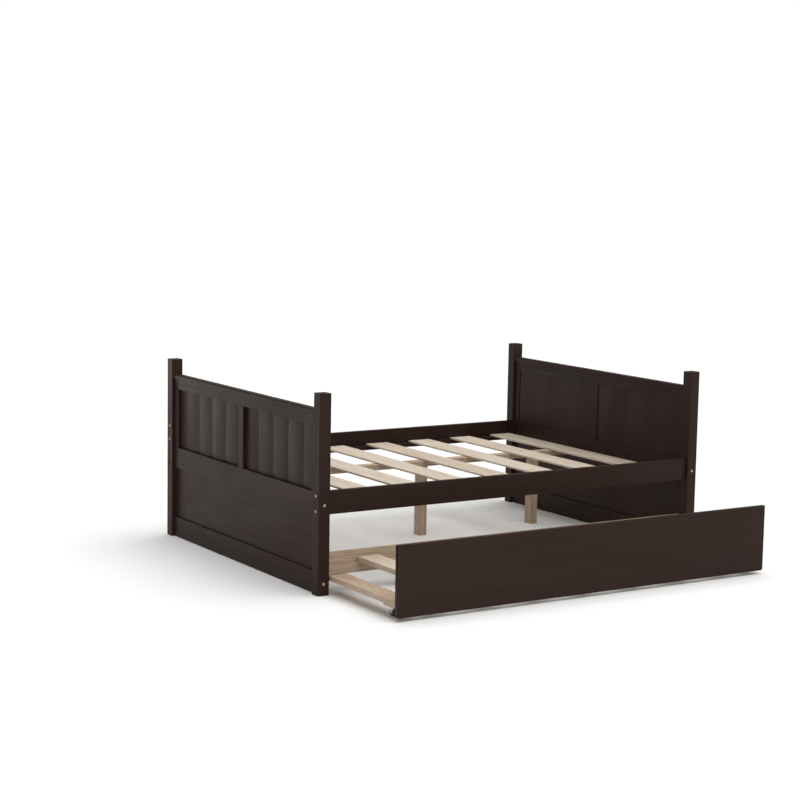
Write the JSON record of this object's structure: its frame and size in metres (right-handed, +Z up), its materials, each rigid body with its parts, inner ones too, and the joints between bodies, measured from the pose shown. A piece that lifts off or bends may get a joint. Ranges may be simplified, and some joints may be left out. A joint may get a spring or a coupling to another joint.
{
  "type": "trundle bed",
  "caption": "A full-size slatted platform bed in dark espresso-painted wood with panelled ends, and a natural-slat trundle that rolls out on fixed casters.",
  "frame": {"origin": "On the floor, below the middle of the whole part's box with the trundle out as it is stored.", "axes": "+Z up, +X along the bed's length to the right seen from the trundle's side, +Y from the trundle's side to the back."},
  "size_m": [2.0202, 1.9856, 0.841],
  "materials": {
    "espresso_painted_wood": "dark brown satin lacquer",
    "natural_pine": "bare sanded pine",
    "zinc_steel": "zinc plated",
    "black_oxide_steel": "black oxide",
    "black_nylon": "moulded black nylon"
  },
  "bodies": {
    "bed_frame": {"barrel_nuts": "zinc_steel", "beam_brackets": "zinc_steel", "bed_screws": "zinc_steel", "centre_beam": "natural_pine", "centre_legs": "natural_pine", "connector_bolts": "black_oxide_steel", "front_left_post": "espresso_painted_wood", "front_right_post": "espresso_painted_wood", "front_side_rail": "espresso_painted_wood", "front_slat_cleat": "espresso_painted_wood", "joint_dowels": "natural_pine", "left_bottom_rail": "espresso_painted_wood", "left_cap_rail": "espresso_painted_wood", "left_centre_stile": "espresso_painted_wood", "left_front_stile": "espresso_painted_wood", "left_front_upper_panel": "espresso_painted_wood", "left_lower_panel": "espresso_painted_wood", "left_mid_rail": "espresso_painted_wood", "left_rear_stile": "espresso_painted_wood", "left_rear_upper_panel": "espresso_painted_wood", "left_top_rail": "espresso_painted_wood", "rear_left_post": "espresso_painted_wood", "rear_right_post": "espresso_painted_wood", "rear_side_rail": "espresso_painted_wood", "rear_slat_cleat": "espresso_painted_wood", "right_bottom_rail": "espresso_painted_wood", "right_cap_rail": "espresso_painted_wood", "right_centre_stile": "espresso_painted_wood", "right_front_stile": "espresso_painted_wood", "right_front_upper_panel": "espresso_painted_wood", "right_lower_panel": "espresso_painted_wood", "right_mid_rail": "espresso_painted_wood", "right_rear_stile": "espresso_painted_wood", "right_rear_upper_panel": "espresso_painted_wood", "right_top_rail": "espresso_painted_wood", "slat_1": "natural_pine", "slat_2": "natural_pine", "slat_3": "natural_pine", "slat_4": "natural_pine", "slat_5": "natural_pine", "slat_6": "natural_pine", "slat_7": "natural_pine", "slat_8": "natural_pine", "wood_plugs": "natural_pine"},
    "trundle": {"caster_axles": "zinc_steel", "caster_blocks": "natural_pine", "caster_forks": "zinc_steel", "trundle_front_cleat": "natural_pine", "trundle_front_panel": "espresso_painted_wood", "trundle_left_bearer": "natural_pine", "trundle_rear_board": "natural_pine", "trundle_rear_cleat": "natural_pine", "trundle_right_bearer": "natural_pine", "trundle_screws": "zinc_steel", "trundle_slats": "natural_pine"},
    "front_left_wheel_body": {"front_left_wheel": "black_nylon"},
    "front_right_wheel_body": {"front_right_wheel": "black_nylon"},
    "rear_left_wheel_body": {"rear_left_wheel": "black_nylon"},
    "rear_right_wheel_body": {"rear_right_wheel": "black_nylon"}
  },
  "joints": [
    {"name": "trundle_roll", "type": "slide", "parent": "bed_frame", "child": "trundle", "axis": [0, -1, 0], "range_m": [-0.544, 0.12]},
    {"name": "front_left_wheel_spin", "type": "hinge", "parent": "trundle", "child": "front_left_wheel_body", "pos_m": [-0.9065, -0.8865, 0.02], "axis": [1, 0, 0], "continuous": true},
    {"name": "front_right_wheel_spin", "type": "hinge", "parent": "trundle", "child": "front_right_wheel_body", "pos_m": [0.9065, -0.8865, 0.02], "axis": [1, 0, 0], "continuous": true},
    {"name": "rear_left_wheel_spin", "type": "hinge", "parent": "trundle", "child": "rear_left_wheel_body", "pos_m": [-0.5855, -0.4455, 0.02], "axis": [1, 0, 0], "continuous": true},
    {"name": "rear_right_wheel_spin", "type": "hinge", "parent": "trundle", "child": "rear_right_wheel_body", "pos_m": [0.5855, -0.4455, 0.02], "axis": [1, 0, 0], "continuous": true}
  ],
  "couplings": [
    {"joint": "front_left_wheel_spin", "follows": "trundle_roll", "rad_per_m": 50},
    {"joint": "front_right_wheel_spin", "follows": "trundle_roll", "rad_per_m": 50},
    {"joint": "rear_left_wheel_spin", "follows": "trundle_roll", "rad_per_m": 50},
    {"joint": "rear_right_wheel_spin", "follows": "trundle_roll", "rad_per_m": 50}
  ]
}
